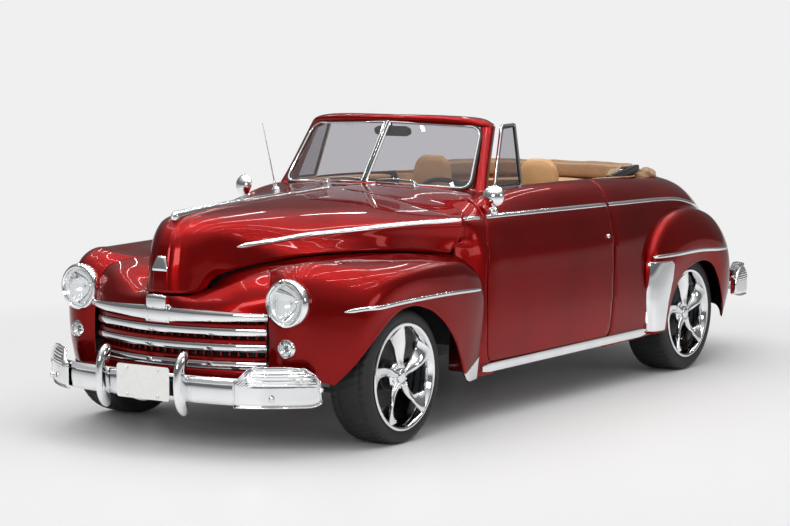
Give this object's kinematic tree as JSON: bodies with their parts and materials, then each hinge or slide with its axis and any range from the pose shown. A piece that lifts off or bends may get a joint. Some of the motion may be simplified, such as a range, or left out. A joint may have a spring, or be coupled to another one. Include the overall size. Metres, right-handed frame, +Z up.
{
  "type": "convertible car",
  "caption": "Full-size late-1940s style open two-door convertible with opening doors, hood and deck lid, steered front wheels and four turning wheels.",
  "frame": {"origin": "on the ground under the middle of the overall length, on the centreline", "axes": "+X to the left side of the car, +Y towards its tail, +Z up"},
  "size_m": [1.865, 5.034, 1.4663],
  "materials": {
    "paint": "gloss",
    "chrome": "polished",
    "frame_black": "satin",
    "steel": "satin",
    "engine_block": "satin",
    "glass": "clear",
    "lens": "clear",
    "tail_red": "gloss",
    "seat_leather": "satin",
    "top_cloth": "matte",
    "wheel_black": "satin",
    "tyre": "matte",
    "rim": "polished"
  },
  "bodies": {
    "body": {"chassis_frame": "frame_black", "floor_pan": "frame_black", "cowl": "paint", "quarter_left": "paint", "quarter_right": "paint", "tail_panel": "paint", "front_fender_left": "paint", "front_fender_right": "paint", "rear_fender_left": "paint", "rear_fender_right": "paint", "nose_panel": "paint", "grille": "paint", "grille_bars": "chrome", "engine_bay": "frame_black", "engine": "engine_block", "driveline": "steel", "exhaust": "steel", "fuel_tank": "steel", "rear_axle": "frame_black", "front_suspension": "frame_black", "front_bumper": "chrome", "rear_bumper": "chrome", "front_lamps": "lens", "tail_lamps": "tail_red", "windscreen_frame": "paint", "windscreen_glass": "glass", "dashboard": "paint", "front_seats": "seat_leather", "rear_seat": "seat_leather", "folded_top": "top_cloth"},
    "hood": {"hood": "paint"},
    "deck_lid": {"deck_lid": "paint"},
    "door_left": {"door_left": "paint"},
    "door_right": {"door_right": "paint"},
    "steering_wheel": {"steering_wheel": "wheel_black"},
    "knuckle_left": {"knuckle_left": "steel"},
    "knuckle_right": {"knuckle_right": "steel"},
    "wheel_front_left": {"tyre_front_left": "tyre", "rim_front_left": "rim"},
    "wheel_front_right": {"tyre_front_right": "tyre", "rim_front_right": "rim"},
    "wheel_rear_left": {"tyre_rear_left": "tyre", "rim_rear_left": "rim"},
    "wheel_rear_right": {"tyre_rear_right": "tyre", "rim_rear_right": "rim"}
  },
  "joints": [
    {"name": "hood_hinge", "type": "hinge", "parent": "body", "child": "hood", "pos_m": [0, -1.033, 1.106], "axis": [-1, 0, 0], "range_deg": [0, 45]},
    {"name": "deck_lid_hinge", "type": "hinge", "parent": "body", "child": "deck_lid", "pos_m": [0, 1.453, 1.112], "axis": [1, 0, 0], "range_deg": [0, 60]},
    {"name": "door_left_hinge", "type": "hinge", "parent": "body", "child": "door_left", "pos_m": [0.85, -0.848, 0.6], "axis": [0, 0, -1], "range_deg": [0, 65]},
    {"name": "door_right_hinge", "type": "hinge", "parent": "body", "child": "door_right", "pos_m": [-0.85, -0.848, 0.6], "axis": [0, 0, 1], "range_deg": [0, 65]},
    {"name": "steer_left", "type": "hinge", "parent": "body", "child": "knuckle_left", "pos_m": [0.67, -1.653, 0.311], "axis": [0, 0, 1], "range_deg": [-30, 30]},
    {"name": "steer_right", "type": "hinge", "parent": "body", "child": "knuckle_right", "pos_m": [-0.67, -1.653, 0.311], "axis": [0, 0, 1], "range_deg": [-30, 30]},
    {"name": "steering_wheel_turn", "type": "hinge", "parent": "body", "child": "steering_wheel", "pos_m": [0.36, -0.433, 0.985], "axis": [0, 0.788, 0.6157], "range_deg": [-540, 540]},
    {"name": "wheel_front_left_spin", "type": "hinge", "parent": "knuckle_left", "child": "wheel_front_left", "pos_m": [0.767, -1.653, 0.311], "axis": [1, 0, 0], "continuous": true},
    {"name": "wheel_front_right_spin", "type": "hinge", "parent": "knuckle_right", "child": "wheel_front_right", "pos_m": [-0.767, -1.653, 0.311], "axis": [1, 0, 0], "continuous": true},
    {"name": "wheel_rear_left_spin", "type": "hinge", "parent": "body", "child": "wheel_rear_left", "pos_m": [0.743, 1.243, 0.322], "axis": [1, 0, 0], "continuous": true},
    {"name": "wheel_rear_right_spin", "type": "hinge", "parent": "body", "child": "wheel_rear_right", "pos_m": [-0.743, 1.243, 0.322], "axis": [1, 0, 0], "continuous": true}
  ],
  "couplings": [
    {"joint": "steer_right", "follows": "steer_left", "ratio": 1},
    {"joint": "steering_wheel_turn", "follows": "steer_left", "ratio": 17}
  ]
}
